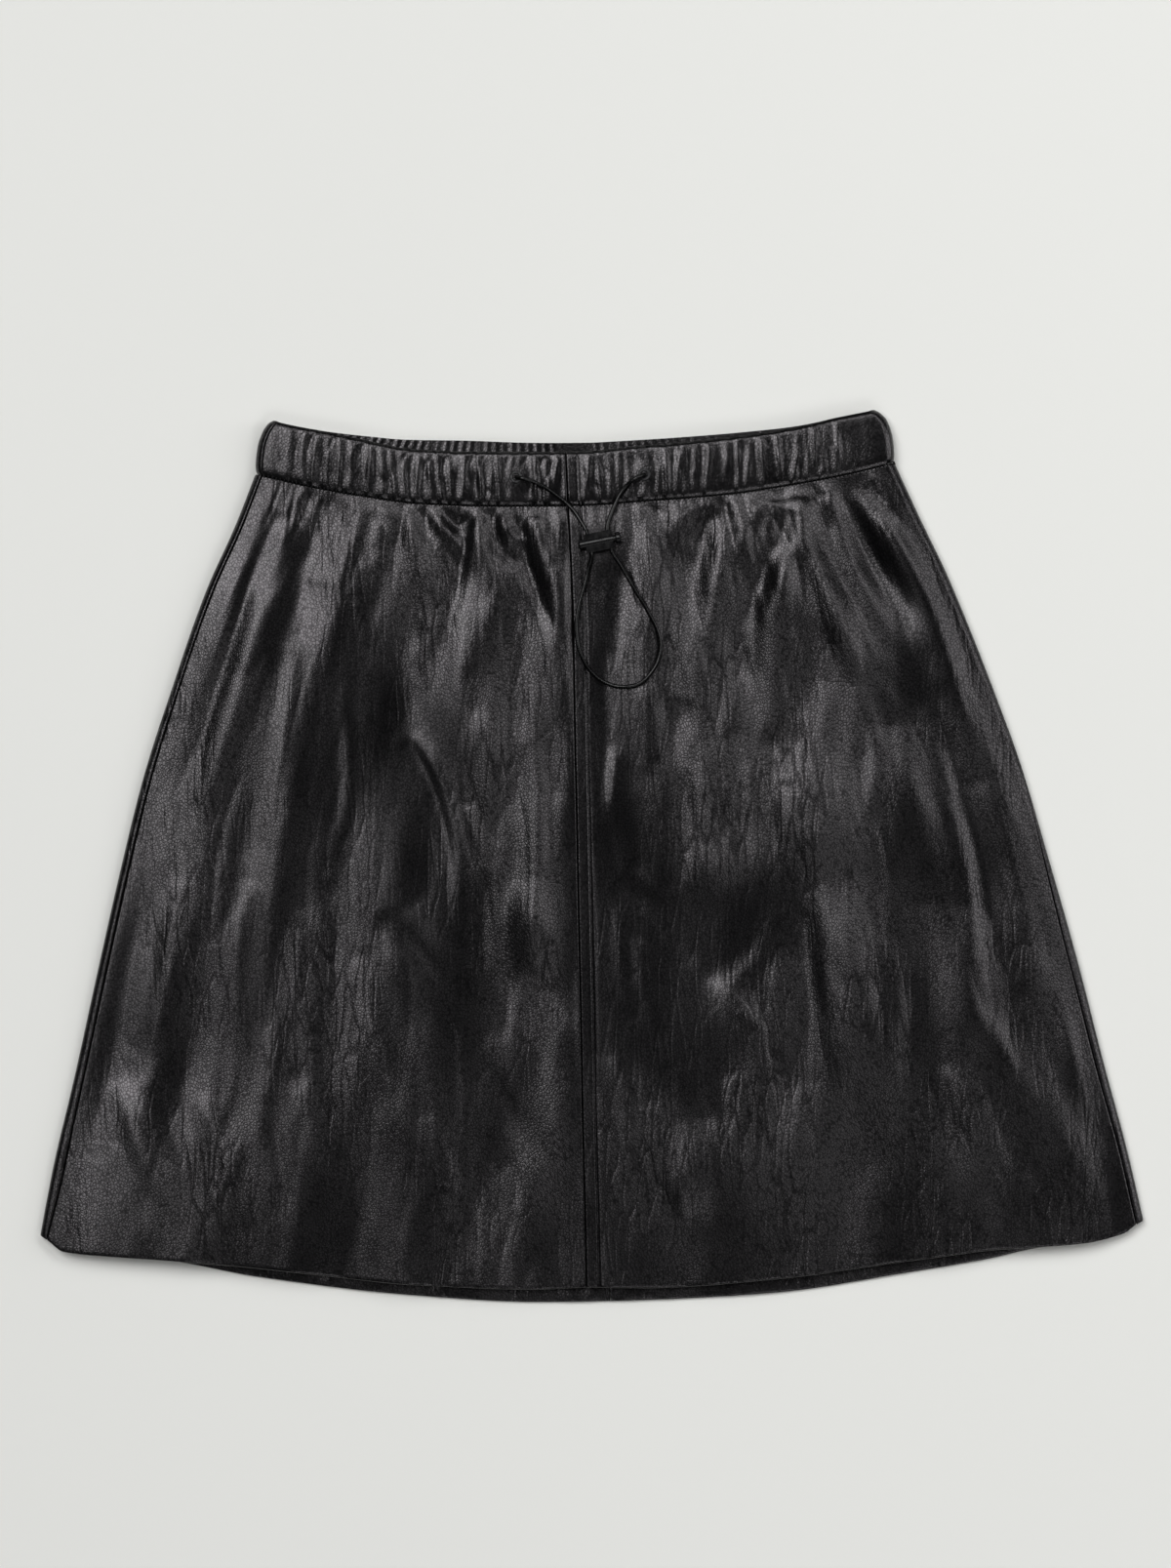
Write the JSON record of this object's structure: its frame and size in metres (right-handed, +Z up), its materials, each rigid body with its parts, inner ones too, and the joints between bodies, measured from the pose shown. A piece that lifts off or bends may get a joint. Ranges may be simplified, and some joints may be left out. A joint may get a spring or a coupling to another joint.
{
  "type": "leather mini skirt",
  "caption": "A-line mini skirt in soft black faux leather with an elastic-gathered waistband, a front drawcord and a spring cord lock, laid flat on its back.",
  "frame": {"origin": "middle of the bottom of the laid garment's box, on the surface it lies on", "axes": "+Z up out of the front, +Y towards the waistband, +X to the right of a viewer who looks down at the front with the waist away from them"},
  "size_m": [0.5546, 0.4483, 0.0192],
  "materials": {
    "leather": "semi-gloss, pebbled grain",
    "cord": "braided elastic, slight sheen",
    "lock_plastic": "gloss",
    "eyelet_enamel": "black enamel"
  },
  "bodies": {
    "garment": {"front_panel_left": "leather", "front_panel_right": "leather", "back_panel_left": "leather", "back_panel_right": "leather", "waistband_front_left": "leather", "waistband_front_right": "leather", "waistband_back": "leather", "eyelet_left": "eyelet_enamel", "eyelet_right": "eyelet_enamel", "drawcord": "cord", "lock_body": "lock_plastic"},
    "button": {"lock_button": "lock_plastic"}
  },
  "joints": [
    {"name": "lock_button_slide", "type": "slide", "parent": "garment", "child": "button", "axis": [-0.981, -0.1942, 0], "range_m": [0, 0.0011], "stiffness_N_per_m": 800}
  ]
}
